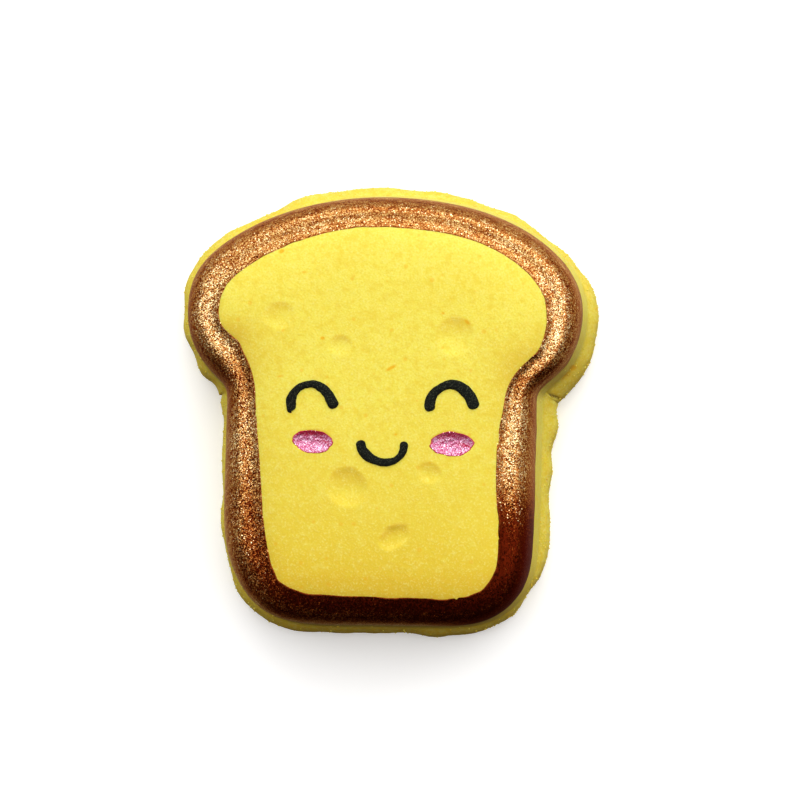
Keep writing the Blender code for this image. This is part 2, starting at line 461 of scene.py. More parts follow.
    def face_height(self, places: Array) -> Array:
        """The face's height: a low pillow with its dimples and the cheeks' bowls.

        Args:
            places: rows that start with x and y.

        Returns:
            The height at each place.
        """
        border = self.ring(self.border_points).border
        step = np.linalg.norm(np.roll(border, -1, axis=0) - border, axis=1)
        height = np.empty(len(places))
        for start in range(0, len(places), CHUNK):
            part = slice(start, start + CHUNK)
            gap = np.linalg.norm(places[part, None, :2] - border[None], axis=2)
            distance = np.sqrt(2 / (step / np.maximum(gap, 0.01) ** 3).sum(axis=1))
            rise = 1 - np.exp(-distance / self.pillow_reach)
            height[part] = self.face_edge + (self.face_top - self.face_edge) * rise
        for dimple in self.dimples:
            height -= self.hollow_depth(places, dimple, self.dimple_share, self.dimple_bend, self.dimple_soft)
        for cheek in self.cheeks:
            height -= self.hollow_depth(places, cheek, self.cheek_share, 0.0, self.cheek_soft)
        return height


# Meshes


def loft(rings: Sequence[Array], closed_ends: bool = False) -> tuple[Array, Faces]:
    """Joins rings of equal length with quads.

    Args:
        rings: each a table of places, ordered the same way round.
        closed_ends: whether the last ring joins the first, as round a tube's section.

    Returns:
        All places, and the faces.
    """
    count = len(rings[0])
    total = len(rings)
    faces = []
    for level in range(total if closed_ends else total - 1):
        low, high = level * count, (level + 1) % total * count
        for i in range(count):
            after = (i + 1) % count
            faces.append((low + i, low + after, high + after, high + i))
    return np.vstack(rings), faces


def add_object(name: str, data: ID) -> Object:
    """Makes an object of its data and links it to the scene."""
    obj = bpy.data.objects.new(name, data)
    bpy.context.scene.collection.objects.link(obj)
    return obj


def set_mark(mesh: Mesh, name: str, values: Array) -> None:
    """Gives every vertex of a mesh a value or a vector, which finishes and scatters read by its name."""
    kind, key = ("FLOAT", "value") if values.ndim == 1 else ("FLOAT_VECTOR", "vector")
    mesh.attributes.new(name, kind, "POINT").data.foreach_set(key, values.astype(np.float32).ravel())


def read(items: bpy.types.bpy_prop_collection, key: str, width: int) -> Array:
    """Reads one property of many items.

    Args:
        items: a mesh's vertices, normals or values.
        key: the property.
        width: how many numbers it has.

    Returns:
        A row for each item.
    """
    values = np.empty(len(items) * width, np.float32)
    items.foreach_get(key, values)
    return values.reshape(-1, width).astype(float)


def normals_of(obj: Object) -> Array:
    """The way that each vertex of a piece faces."""
    return read(obj.data.vertex_normals, "vector", 3)


def places_of(obj: Object) -> Array:
    """A piece's vertices in millimetres."""
    return read(obj.data.vertices, "co", 3) / MM


def mark_of(obj: Object, name: str) -> Array:
    """A value that a piece carries for each vertex."""
    return read(obj.data.attributes[name].data, "value", 1)[:, 0]


def make_piece(
    name: str,
    places: Array,
    faces: Sequence[Sequence[int]],
    material: Material,
    marks: dict[str, Array] | None = None,
) -> Object:
    """Makes a smooth mesh object from places in millimetres.

    Args:
        name: the piece's name.
        places: rows of x, y and z.
        faces: rows of vertex numbers.
        material: its finish.
        marks: values for each vertex, by name.

    Returns:
        The object, linked to the scene.
    """
    mesh = bpy.data.meshes.new(name)
    mesh.from_pydata((places * MM).tolist(), [], faces)
    for mark, values in (marks or {}).items():
        set_mark(mesh, mark, values)
    mesh.shade_smooth()
    mesh.materials.append(material)
    mesh.validate()
    return add_object(name, mesh)


def fix_normals(obj: Object) -> None:
    """Turns a closed piece's faces outwards."""
    bm = bmesh.new()
    bm.from_mesh(obj.data)
    bmesh.ops.recalc_face_normals(bm, faces=bm.faces)
    bm.to_mesh(obj.data)
    bm.free()
    obj.data.shade_smooth()


def hand_over(obj: Object, slot: Slot, *nodes: str) -> None:
    """Puts a finished piece on the object's body.

    Args:
        obj: the piece.
        slot: the slot for its finish; not used.
        nodes: the CAD nodes that it replaces.
    """
    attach(obj, BODY)
    if nodes:
        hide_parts(*nodes)
    log.info("%s: %d faces", obj.name, len(obj.data.polygons))


# Node trees


class Wire:
    """A node's output that takes Python's operators. Each adds a Math node."""

    def __init__(self, net: "Net", socket: NodeSocket) -> None:
        """Keeps the socket and the tree that it is in."""
        self.net = net
        self.socket = socket

    def _with(self, operation: str, first: "Wire | float", second: "Wire | float") -> "Wire":
        """One Math node on two values."""
        return self.net.wire("ShaderNodeMath", 0, {"operation": operation}, {0: first, 1: second})

    def __add__(self, other: "Wire | float") -> "Wire":
        """Self plus other."""
        return self._with("ADD", self, other)

    def __radd__(self, other: float) -> "Wire":
        """Other plus self."""
        return self._with("ADD", other, self)

    def __sub__(self, other: "Wire | float") -> "Wire":
        """Self minus other."""
        return self._with("SUBTRACT", self, other)

    def __rsub__(self, other: float) -> "Wire":
        """Other minus self."""
        return self._with("SUBTRACT", other, self)

    def __mul__(self, other: "Wire | float") -> "Wire":
        """Self times other."""
        return self._with("MULTIPLY", self, other)

    def __rmul__(self, other: float) -> "Wire":
        """Other times self."""
        return self._with("MULTIPLY", other, self)

    def between(self, low: float, high: float) -> "Wire":
        """0 at low and 1 at high, smoothly, or the other way round where high is the lower."""
        ends = {"From Min": low, "From Max": high}
        if low > high:
            ends = {"From Min": high, "From Max": low, "To Min": 1.0, "To Max": 0.0}
        settings = {"interpolation_type": "SMOOTHSTEP"}
        return self.net.wire("ShaderNodeMapRange", "Result", settings, {"Value": self, **ends})


Value = Wire | float | str | Sequence[float] | Material


class Net:
    """A node tree that takes Python's values: a material's, the surround's or a scatter's."""

    def __init__(self, tree: NodeTree) -> None:
        """Keeps the tree."""
        self.tree = tree

    def node(self, kind: str, settings: dict | None = None, inputs: dict | None = None) -> Node:
        """Adds a node.

        Args:
            kind: the node's type.
            settings: its properties, set first. "stops" gives a colour ramp's places and colours.
            inputs: values or wires, by the socket's name or number.

        Returns:
            The node.
        """
        node = self.tree.nodes.new(kind)
        for name, value in (settings or {}).items():
            if name == "stops":
                self._set_stops(node.color_ramp, value)
            else:
                setattr(node, name, value)
        for name, value in (inputs or {}).items():
            self.feed(node.inputs[name], value)
        return node

    def feed(self, socket: NodeSocket, value: Value) -> None:
        """Links a wire to a socket, or sets the socket's own value."""
        if isinstance(value, Wire):
            self.tree.links.new(value.socket, socket)
        elif isinstance(value, tuple) and len(value) < len(socket.default_value):
            socket.default_value = (*value, 1.0)
        else:
            socket.default_value = value

    def out(self, node: Node, name: str | int) -> Wire:
        """A node's output as a wire."""
        return Wire(self, node.outputs[name])

    def wire(
        self, kind: str, name: str | int, settings: dict | None = None, inputs: dict | None = None
    ) -> Wire:
        """Adds a node as node() does, and gives one of its outputs."""
        return self.out(self.node(kind, settings, inputs), name)

    @staticmethod
    def _set_stops(ramp: bpy.types.ColorRamp, stops: Sequence[tuple[float, Triple]]) -> None:
        """Gives a ramp its stops."""
        while len(ramp.elements) < len(stops):
            ramp.elements.new(1.0)
        for element, (place, colour) in zip(ramp.elements, stops):
            element.position, element.color = place, (*colour, 1.0)

    def mix(self, factor: Wire | float, low: Wire | Triple, high: Wire | Triple) -> Wire:
        """A colour between two others."""
        return self.wire("ShaderNodeMix", 2, {"data_type": "RGBA"}, {0: factor, 6: low, 7: high})


class Graph(Net):
    """A material's node graph, with the object's own coordinates at hand."""

    def __init__(self, name: str) -> None:
        """Makes a material with one Principled shader."""
        self.material = bpy.data.materials.new(name)
        self.material.use_nodes = True
        super().__init__(self.material.node_tree)
        self.shader = self.tree.nodes["Principled BSDF"]
        self.place = self.wire("ShaderNodeTexCoord", "Object")

    def mark(self, name: str) -> Wire:
        """A value that the mesh carries for each vertex."""
        return self.wire("ShaderNodeAttribute", "Fac", {"attribute_name": name})

    def vector(self, operation: str, inputs: dict[str | int, Value]) -> Wire:
        """One Vector Math node."""
        return self.wire("ShaderNodeVectorMath", "Vector", {"operation": operation}, inputs)

    def noise(self, size: float, detail: float = 2.0, place: Wire | None = None) -> Wire:
        """Soft noise from 0 to 1, with lumps of so many millimetres."""
        inputs = {"Vector": place or self.place, "Scale": 1 / (size * MM), "Detail": detail}
        return self.wire("ShaderNodeTexNoise", "Fac", {}, inputs)

    def cells(self, size: float) -> Node:
        """Cells of so many millimetres, each with its own colour."""
        return self.node("ShaderNodeTexVoronoi", {}, {"Vector": self.place, "Scale": 1 / (size * MM)})

    def bump(self, height: Wire, depth: float, normal: Wire | None = None) -> Wire:
        """A normal bent by a height, with a depth in millimetres."""
        inputs = {"Height": height, "Distance": depth * MM, "Strength": 1.0}
        if normal is not None:
            inputs["Normal"] = normal
        return self.wire("ShaderNodeBump", "Normal", {}, inputs)

    def finish(self, inputs: dict[str, Value]) -> Material:
        """Feeds the shader and returns the material."""
        for name, value in inputs.items():
            self.feed(self.shader.inputs[name], value)
        return self.material


@dataclass(frozen=True)
class PowderFinish:
    """Dyed pressed powder: a fine grain, paler and deeper clouds, small orange specks of dye, and painted
    shade and painted light from the body's marks.
    """

    name: str = "powder"
    colour: Triple = (0.70, 0.612, 0.094)
    deep: Triple = (0.65, 0.495, 0.043)
    pale: Triple = (0.72, 0.65, 0.17)
    dye: Triple = (0.68, 0.39, 0.015)
    # The crack's colour: painted shade inside the crack in the flange, and on the walls that face the foot.
    crack: Triple = (0.12, 0.06, 0.01)
    grain: float = 0.34
    speck_cell: float = 2.2
    roughness: float = 0.88
    depth_share: float = 0.4
    depth: float = 1.6
    depth_colour: Triple = (1.0, 0.62, 0.16)

    def material(self) -> Material:
        """Builds the material, its colour layer by layer over the plain powder's."""
        graph = Graph(self.name)
        raw = graph.mark("raw")
        grain, mottle = graph.noise(self.grain, 3.0), graph.noise(1.5, 3.0)
        specks = graph.cells(self.speck_cell)
        chance = graph.wire("ShaderNodeSeparateColor", 0, {}, {0: graph.out(specks, "Color")})
        size = chance.between(0.35, 1.0) * (0.22 + raw * 0.06)
        speck = (size - graph.out(specks, "Distance") + (grain - 0.5) * 0.25).between(0.0, 0.09)
        smear = (graph.mark("dye") + (grain - 0.5) * 0.5).between(0.15, 0.7)
        layers = (
            (graph.noise(9.0, 3.0).between(0.35, 0.7) * 0.25, self.deep),
            # Painted shade: the face deeper towards its bottom, and the walls deeper all round.
            (graph.mark("warm"), self.deep),
            # Painted shade: slopes that face the foot, such as the dimples' upper walls, take the dye's
            # orange.
            (graph.mark("shade") * 0.4, self.dye),
            # Painted light: the smooth walls paler towards the crown.
            (graph.mark("bare") * 0.2, self.pale),
            (grain.between(0.5, 0.7) * 0.6, self.pale),
            (mottle.between(0.5, 0.7) * 0.22, self.pale),
            (grain.between(0.5, 0.3) * 0.6, self.deep),
            (mottle.between(0.5, 0.3) * 0.5, self.deep),
            (speck * 0.45, self.dye),
            (smear * 0.95, self.dye),
            (graph.noise(1.6, 4.0).between(0.45, 0.7) * raw * 0.25, self.dye),
            (graph.noise(0.8, 3.0).between(0.45, 0.65) * raw * 0.4, self.pale),
            # Painted shade in the crack and on the walls that face the foot.
            (graph.mark("crack"), self.crack),
        )
        colour = self.colour
        for share, tint in layers:
            colour = graph.mix(share, colour, tint)
        return graph.finish(
            {
                "Base Color": colour,
                "Roughness": self.roughness,
                "Normal": graph.bump(grain + graph.noise(0.9, 2.0) * 0.6, 0.05),
                "Subsurface Weight": self.depth_share,
                "Subsurface Scale": self.depth * MM,
                "Subsurface Radius": self.depth_colour,
            }
        )


@dataclass(frozen=True)
class MicaFinish:
    """Brushed mica paint: every flake has its own tone and its own small tilt.

    The tones run from the paint's deep ground to the palest flakes. Of the marks, the crest's mark moves up
    them as painted highlight at the waist and down as painted shade at the neck,
    "foot" moves down them as painted shade along the foot, "matte" dulls the paint, "rim" turns it to its
    edge's colour, and "sweep" leads the streaks.
    """

    name: str
    tones: tuple[tuple[float, Triple], ...]
    edge: Triple
    flake: float = 0.15
    tilt: float = 0.28
    metallic: float = 0.92
    roughness: float = 0.26
    sheen: Triple = (0.6, 0.25, 0.09)
    ground: float = 0.02
    # The next two set how much painted highlight the crest's mark gives and how much painted shade the foot's
    # mark gives.
    glow: float = 0.16
    foot_shade: float = 0.6
    dull: float = 0.31
    streaks: float = 0.0
    streak_depth: float = 0.02
    specular: float = 0.5

    def material(self) -> Material:
        """Builds the material."""
        graph = Graph(self.name)
        tint = graph.out(graph.cells(self.flake), "Color")
        parts = graph.node("ShaderNodeSeparateColor", {}, {0: tint})
        tone, gloss = graph.out(parts, 0), graph.out(parts, 1)
        matte = graph.mark("matte")
        level = tone * (1 - matte * 0.6) - self.ground + matte * (self.dull + self.ground)
        # Painted highlight along the crest's waist, and painted shade at its neck and along the foot.
        level = level + graph.mark("shine") * self.glow - graph.mark("foot") * self.foot_shade
        bent = graph.vector("SUBTRACT", {0: tint, 1: (0.5, 0.5, 0.5)})
        bent = graph.vector("SCALE", {0: bent, "Scale": (1 - matte * 0.75) * self.tilt})
        own = graph.wire("ShaderNodeNewGeometry", "Normal")
        bent = graph.vector("NORMALIZE", {0: graph.vector("ADD", {0: own, 1: bent})})
        if self.streaks:
            sweep = graph.wire("ShaderNodeAttribute", "Vector", {"attribute_name": "sweep"})
            streak = graph.noise(1 / MM, 2.0, sweep)
            level = level + (streak - 0.5) * self.streaks * (1 - matte * 0.1)
            bent = graph.bump(streak, self.streak_depth, bent)
        ramp = graph.wire("ShaderNodeValToRGB", "Color", {"stops": self.tones}, {0: level})
        return graph.finish(
            {
                "Base Color": graph.mix(graph.mark("rim"), ramp, self.edge),
                "Metallic": self.metallic - matte * 0.7,
                "Roughness": self.roughness + gloss * 0.16 + matte * 0.2,
                "Specular Tint": self.sheen,
                "Specular IOR Level": self.specular,
                "Normal": bent,
            }
        )


@dataclass(frozen=True)
class FlakeFinish:
    """Loose bright flakes of mica, each a plain facet with the tone that its mesh carries."""

    name: str
    dull: Triple
    bright: Triple
    roughness: float = 0.24

    def material(self) -> Material:
        """Builds the material."""
        graph = Graph(self.name)
        colour = graph.mix(graph.mark("tone"), self.dull, self.bright)
        return graph.finish({"Base Color": colour, "Metallic": 1.0, "Roughness": self.roughness})


@dataclass(frozen=True)
class BlackFinish:
    """Matt black paint, dusty with a fine grain."""

    name: str = "black"
    colour: Triple = (0.0026, 0.0034, 0.0018)
    dusty: Triple = (0.065, 0.072, 0.042)
    grain: float = 0.2

    def material(self) -> Material:
        """Builds the material."""
        graph = Graph(self.name)
        grain = graph.noise(self.grain)
        colour = graph.mix(grain.between(0.5, 0.75) * 0.9, self.colour, self.dusty)
        normal = graph.bump(grain + graph.noise(0.5), 0.12)
        inputs = {"Base Color": colour, "Roughness": 0.8, "Specular IOR Level": 0.25, "Normal": normal}
        return graph.finish(inputs)


@dataclass(frozen=True)
class CrumbFinish:
    """Crumbs of powder, between plain yellow and the dye's orange."""

    name: str = "crumb"
    colour: Triple = (0.73, 0.62, 0.11)
    dye: Triple = (0.70, 0.50, 0.05)
    grain: float = 0.2

    def material(self) -> Material:
        """Builds the material."""
        graph = Graph(self.name)
        colour = graph.mix(graph.mark("tone").between(0.55, 1.0), self.colour, self.dye)
        normal = graph.bump(graph.noise(self.grain), 0.04)
        return graph.finish({"Base Color": colour, "Roughness": 0.9, "Normal": normal})


# Sub-assemblies


@dataclass
class PressedBody:
    """The whole pressed slice: flat back, rough flange, smooth wall, ground of the crust, and face."""

    form: Form
    around: int = 960
    flange_rings: int = 26
    wall_rings: int = 10
    crust_rings: int = 20
    sunk: float = 0.1
    back_shares: tuple[float, ...] = (0.25, 0.5, 0.75, 0.9, 0.97)
    face_grid: float = 0.275
    spots: tuple[Spot, ...] = (
        Spot(-16.9, 27.1, 1.1, 0.7, 30, 1.0),
        Spot(-9.8, 12.35, 0.8, 0.6, 0, 1.0),
        Spot(-16.5, 13.7, 1.0, 0.6, 20, 0.55),
        Spot(-12.95, 23.5, 1.3, 0.5, 5, 0.6),
        Spot(10.55, 16.5, 0.7, 0.5, 0, 0.8),
        Spot(1.8, 7.3, 2.2, 0.6, 28, 0.9),
        Spot(-1.1, 6.3, 0.7, 0.5, 40, 0.5),
        Spot(-17.0, 5.95, 1.5, 0.5, 10, 0.6),
        Spot(-9.0, 5.8, 0.7, 0.5, 0, 0.6),
        Spot(14.6, 15.0, 1.3, 0.6, -40, 0.9),
        Spot(-4.5, 22.8, 0.8, 0.5, 60, 0.45),
        Spot(15.9, 20.2, 0.8, 0.4, 0, 0.45),
        Spot(16.8, 26.1, 0.7, 0.5, 0, 0.5),
        Spot(1.1, 21.9, 0.5, 0.5, 0, 0.5),
        Spot(-2.95, 10.3, 0.6, 0.5, 0, 0.45),
        Spot(3.6, 25.6, 0.6, 0.5, 0, 0.4),
        Spot(2.6, -3.9, 0.7, 0.5, 20, 0.8),
    )
    stains: tuple[Spot, ...] = (
        Spot(32.1, 7.6, 1.2, 0.7, 40, 1.6),
        Spot(31.0, 6.2, 2.6, 0.8, 45, 0.9),
        Spot(30.2, -7.5, 1.0, 0.6, 80, 0.8),
        Spot(29.3, -14.0, 1.6, 0.6, 85, 0.6),
        Spot(-35.2, 8.0, 2.4, 0.7, -65, 0.8),
        Spot(36.3, 18.0, 1.4, 0.6, 90, 0.5),
    )
    crack: tuple[float, float, float, float] = (28.0, 2.9, 29.6, 2.3)
    crack_width: float = 0.3
    crack_depth: float = 0.45
    lumps: tuple[Pair, ...] = ((3.2, 0.10), (1.3, 0.07), (0.6, 0.04))
    face_lumps: tuple[Pair, ...] = ((5.0, 0.03), (1.3, 0.024), (0.6, 0.018))
    # Painted shade: how much deeper the face grows towards its bottom and the walls all round, how strongly
    # slopes that face the foot are shaded on the face and on the walls, and how much darker those walls get.
    face_falloff_shade: float = 0.95
    wall_warm_shade: float = 0.65
    top_shade: float = 6.0
    side_shade: float = 1.1
    painted_shade_darkening: float = 0.45

    def cracked(self, places: Array) -> Array:
        """Where the crack in the flange runs.

        Args:
            places: rows of x, y and z.

        Returns:
            1 in its middle and 0 beside it.
        """
        x0, y0, x1, y1 = self.crack
        line = np.array([x1 - x0, y1 - y0])
        away = places[:, :2] - (x0, y0)
        along = away @ line / (line @ line)
        gap = np.linalg.norm(away - np.clip(along, 0, 1)[:, None] * line, axis=1)
        return smooth_step(gap, self.crack_width, 0.0) * smooth_step(places[:, 2], 3.0, 4.5)

    def side(self, ring: Ring) -> tuple[list[Array], list[Array]]:
        """Makes the flange and the wall, from the back up.

        Args:
            ring: the outline.

        Returns:
            Their rings, and how raw each is.
        """
        form = self.form
        stray = form.ragged(self.around)
        low = np.linspace(0, form.wall_foot, self.flange_rings, endpoint=False)
        high = np.linspace(form.wall_foot, form.rim_edge, self.wall_rings, endpoint=False)
        rings, raw = [], []
        for height in [*low, *high]:
            places = raised(ring.edge + ring.normal * form.wall_reach(ring, height, stray), height)
            rough = 1 - smooth_step(height, form.wall_foot - 0.7, form.wall_foot + 0.3)
            push = lumpy(places, self.lumps, 3) * (0.12 + 0.88 * rough) * min(1.0, 0.35 + height / 1.2)
            push -= self.cracked(places) * self.crack_depth
            places[:, :2] += ring.normal * push[:, None]
            rings.append(places)
            raw.append(np.full(self.around, rough))
        return rings, raw

    def crust_ground(self, ring: Ring) -> list[Array]:
        """Rings under the paint, a little below its surface."""
        rings = []
        for q in np.linspace(0, 1, self.crust_rings):
            inward, height = self.form.crust_point(ring, q)
            sunk = self.sunk * min(1.0, 5 * q, 5 * (1 - q))
            rings.append(raised(ring.edge - ring.normal * (inward + sunk), height - sunk))
        return rings

    def face_fill(self, border: Array) -> tuple[Array, Faces]:
        """Fills the face inside its border with an even mesh.

        Args:
            border: the places round it.

        Returns:
            The places, the border's first, and triangles.
        """
        step = self.face_grid
        low, high = border.min(axis=0) - step, border.max(axis=0) + step
        lines = []
        for i, y in enumerate(np.arange(low[1], high[1], step * math.sqrt(3) / 2)):
            across = np.arange(low[0] + i % 2 * step / 2, high[0], step)
            lines.append(np.column_stack([across, np.full_like(across, y)]))
        inner = np.vstack(lines)
        inner = inner[self.inside(inner, border, step * 0.6)]
        points = [Vector(place) for place in np.vstack([border, inner])]
        made = delaunay_2d_cdt(points, [], [list(range(len(border)))], 1, 1e-5)
        return np.array([tuple(point) for point in made[0]]), [tuple(face) for face in made[2]]

    @staticmethod
    def inside(places: Array, border: Array, margin: float) -> Array:
        """Which places are well inside a border.

        Args:
            places: rows of x and y.
            border: the places round it.
            margin: how far from it they have to be.

        Returns:
            Whether each is.
        """
        after = np.roll(border, -1, axis=0)
        rise = np.where(after[:, 1] == border[:, 1], 1.0, after[:, 1] - border[:, 1])
        result = np.zeros(len(places), bool)
        for start in range(0, len(places), CHUNK):
            part = places[start : start + CHUNK]
            x, y = part[:, 0:1], part[:, 1:2]
            spans = (border[:, 1] > y) != (after[:, 1] > y)
            crossing = border[:, 0] + (y - border[:, 1]) / rise * (after[:, 0] - border[:, 0])
            odd = (spans & (x < crossing)).sum(axis=1) % 2 == 1
            near = np.linalg.norm(part[:, None] - border[None], axis=2).min(axis=1)
            result[start : start + CHUNK] = odd & (near > margin)
        return result

    def build(self, material: Material) -> Object:
        """Makes the body as one closed mesh.

        Args:
            material: the powder.

        Returns:
            The piece, with its marks.
        """
        form, count = self.form, self.around
        ring = form.ring(count)
        side, raw = self.side(ring)
        ground = self.crust_ground(ring)
        back = [raised(side[0] * share, 0.0) for share in self.back_shares]
        places, faces = loft(back + side + ground)
        flat, triangles = self.face_fill(ground[-1][:, :2])
        height = form.face_height(flat)
        fade = smooth_step(height, form.face_edge, form.face_edge + 0.4)
        height += lumpy(raised(flat, 0.0), self.face_lumps, 20) * fade
        first = len(places) - count
        places = np.vstack([places, raised(flat, height)[count:], np.zeros((1, 3))])
        centre = len(places) - 1
        faces += [tuple(index + first for index in face) for face in triangles]
        faces += [(centre, (i + 1) % count, i) for i in range(count)]
        smooth = centre - count * (len(back) + len(side))
        raw = np.concatenate([np.ones(count * len(back)), *raw, np.zeros(smooth), np.ones(1)])
        high = places[:, 2] > form.rim_edge
        # Painted light: the smooth walls paler towards the crown. Painted shade: the face deeper towards its
        # bottom, and the walls deeper where they aren't paler.
        bare = ~high * (1 - raw) * smooth_step(places[:, 1], -24.0, 4.0)
        face_falloff_shade = self.face_falloff_shade * smooth_step(places[:, 1], 6.0, -30.0)
        warm = np.where(high, face_falloff_shade, self.wall_warm_shade * (1 - 0.6 * bare))
        dye = np.where(high, dyed(places, self.spots), dyed(places, self.stains))
        marks = {"raw": raw, "dye": dye, "warm": warm, "bare": bare}
        body = make_piece("pressed_body", places, faces, material, marks)
        # Painted shade: slopes that face the foot turn orange, and on the walls darker through the crack's
        # colour.
        shade = np.clip(-normals_of(body)[:, 1] * np.where(high, self.top_shade, self.side_shade), 0, 1)
        set_mark(body.data, "shade", shade)
        set_mark(body.data, "crack", (self.cracked(places) + shade * self.painted_shade_darkening) * ~high)
        return body


@dataclass
class CrustPaint:
    """The copper coat on the crust: a thin closed shell with hand-brushed edges."""

    form: Form
    around: int = 1200
    across: int = 40
    last_share: float = 0.985
    thickness: float = 0.055
    under: float = 0.16
    edge_wobble: float = 0.07
    edge_fray: float = 0.012
    outer_drop: float = 0.35
    drop_wobble: float = 0.12
    drop_fray: float = 0.03
    foot_lap: float = 0.45
    brush_depth: float = 0.03
    brush_round: float = 34.0
    streak_length: float = 3.0
    streak_width: float = 0.3
    slants: tuple[Triple, ...] = ((3.65, 0.4, 0.75), (6.0, 0.35, -0.5), (2.9, 0.35, 0.3))
    made_up: Pair = (4.85, 0.3)

    def brush(self) -> Array:
        """Marks of the brush: long streaks that lean across the crust, one row for each ring across."""
        turn = turns(self.around)
        rows = []
        for across in np.linspace(0, 1, self.across):
            places = np.column_stack([np.cos(turn), np.sin(turn)]) * self.brush_round + (across * 2, 0)
            places = raised(places, across * 9)
            fine, broad = clouds(places, 0.7, 40), clouds(places * (1, 1, 2.2), 1.6, 41)
            rows.append(0.5 * fine + 0.5 * broad * np.cos(turn * 36 + across * 3.2))
        return np.array(rows)

    @staticmethod
    def shine(places: Array, shares: Array) -> Array:
        """How thickly the palest flakes lie, as painted highlight: most inside the crest at the slice's
        waist, with painted shade at the neck.

        Args:
            places: the coat's vertices.
            shares: how far across the crust each is.

        Returns:
            The value of each.
        """
        waist, neck = hump(places[:, 1], 8.0, 17.0), hump(places[:, 1], 5.0, 4.0)
        crest = hump(shares, 0.74, 0.22)
        return (0.15 + 0.95 * waist - 0.4 * neck) * crest - 0.7 * neck * smooth_step(shares, 0.2, 0.45)

    @staticmethod
    def painted_foot_shade(places: Array, shares: Array, matte: Array) -> Array:
        """How thin the flakes lie, as painted shade: thinnest along the foot, where that comes late on the
        right side.

        Above the foot they lie a little thinner on the left crest and thicker on the right side where the
        paint isn't matt, as painted shade and painted light. Along the foot more of them are left outside the
        crest than inside it, as painted light.

        Args:
            places: the coat's vertices.
            shares: how far across the crust each is.
            matte: how matt the paint is there.

        Returns:
            The value of each.
        """
        x, y = places[:, 0], places[:, 1]
        left, right = smooth_step(x, -10.0, -20.0), smooth_step(x, 10.0, 20.0)
        late = smooth_step(x, -15.0, 15.0)
        foot = smooth_step(y, -7.0 - 2.5 * late, -33.0 + 9.0 * late)
        balance = left * (0.36 * hump(shares, 0.74, 0.15) - 0.12) - 0.15 * right * (1 - 1.6 * matte)
        foot_shade = foot * (1.1 + 0.35 * late - 0.3 * smooth_step(x, -15.0, -22.0))
        foot_shade *= 1 - matte * (1.15 - 0.95 * smooth_step(x, 5.0, 20.0))
        lift = (0.6 - 0.12 * left - 0.3 * right) * smooth_step(shares, 0.78, 0.55)
        lift *= (1 - 0.75 * matte) * smooth_step(y, -12.0, -25.0)
        return foot_shade + balance * smooth_step(y, 6.0, -2.0) * (1 - foot) - lift

    def sweep(self, ring: Ring, rows: int) -> Array:
        """Coordinates along the brush's sweep, long round the crust and short across it.

        The streaks lean at the slants' places, and lean back where the foot is too dark to show it.

        Args:
            ring: the outline.
            rows: how many rings the coat has.

        Returns:
            A row for each vertex.
        """
        turn = turns(self.around)
        step = np.linalg.norm(np.roll(ring.edge, -1, axis=0) - ring.edge, axis=1)
        length = np.concatenate([[0.0], np.cumsum(step)[:-1]]) / step.sum() * 2 * math.pi
        radius = step.sum() / (2 * math.pi) / self.streak_length
        rate = sum(lean * hump(turn, place, width) for place, width, lean in self.slants)
        unseen = hump(turn, *self.made_up)
        rate -= rate.sum() * (unseen / unseen.sum())
        slant = np.cumsum(rate * step) / self.streak_width
        flat = np.column_stack([np.cos(length), np.sin(length)]) * radius
        shift = self.form.crust_width / self.streak_width / self.across
        return np.vstack([raised(flat, slant + min(row, self.across) * shift) for row in range(rows)])

    def build(self, material: Material) -> Object:
        """Makes the coat.

        Args:
            material: the copper paint.

        Returns:
            The piece, with its marks.
        """
        form, count = self.form, self.around
        ring = form.ring(count)
        wobble = self.edge_wobble * waves(count, 12, 60, 5) + self.edge_fray * waves(count, 150, 420, 6)
        drop = self.outer_drop + self.drop_wobble * waves(count, 14, 70, 7)
        drop += self.drop_fray * waves(count, 150, 400, 8)
        lap = self.foot_lap * smooth_step(ring.edge[:, 1], -33.5, -36.0)
        lap *= 1 - 0.7 * smooth_step(ring.edge[:, 0], 2.0, 15.0)
        slope = (form.face_top - form.face_edge) / form.pillow_reach
        lean = form.wall_lean / (form.rim_edge - form.wall_foot)

        def low(out: float, up: float) -> Array:
            """A ring on the wall, along the coat's outer edge."""
            return raised(ring.edge + ring.normal * (lean * drop[:, None] + out), form.rim_edge - drop + up)

        def over(q: float, lift: Array | float, spread: float = 0.0) -> Array:
            """A ring on the crust's profile, lifted off it and pushed onto the face."""
            inward, height = form.crust_point(ring, q)
            near, near_height = form.crust_point(ring, max(q - 0.02, 0))
            far, far_height = form.crust_point(ring, min(q + 0.02, 1))
            run, rise = (far - near)[:, 0], far_height - near_height
            length = np.hypot(run, rise)
            share = smooth_step(q, 0.6, 1.0)
            inward = inward[:, 0] + (wobble + lap) * share + spread - rise / length * lift
            top = height + run / length * lift + slope * lap * share
            return raised(ring.edge - ring.normal * inward[:, None], top)

        across = np.linspace(0.0, self.last_share, self.across)
        rings = [low(-self.under, 0.0), low(self.thickness * 0.7, 0.04)]
        rings += [over(q, self.thickness + row * self.brush_depth) for q, row in zip(across, self.brush())]
        rings += [over(1.0, 0.01, 0.02), over(1.0, -0.12, 0.05)]
        rings += [over(q, -self.under) for q in (0.8, 0.5, 0.2, 0.0)]
        places, faces = loft(rings, closed_ends=True)
        hidden = [1.0] * (len(rings) - 2 - self.across)
        edges = smooth_step(across, 0.94, 1.0) * 0.5 + smooth_step(across, 0.08, 0.0) * 0.4
        shares = np.repeat([0.0, 0.0, *across, *hidden], count)
        matte = np.maximum(smooth_step(shares, 0.5, 0.16), 0.42 * smooth_step(places[:, 1], 18.0, 30.0))
        marks = {
            "rim": np.repeat([1.0, 0.8, *edges, *hidden], count),
            "sweep": self.sweep(ring, len(rings)),
            # The foot's mark paints shade along the foot, and the crest's mark paints highlight along the
            # crest's waist and shade at its neck.
            "foot": self.painted_foot_shade(places, shares, matte),
            "matte": matte,
            "shine": self.shine(places, shares),
        }
        return make_piece("crust_paint", places, faces, material, marks)


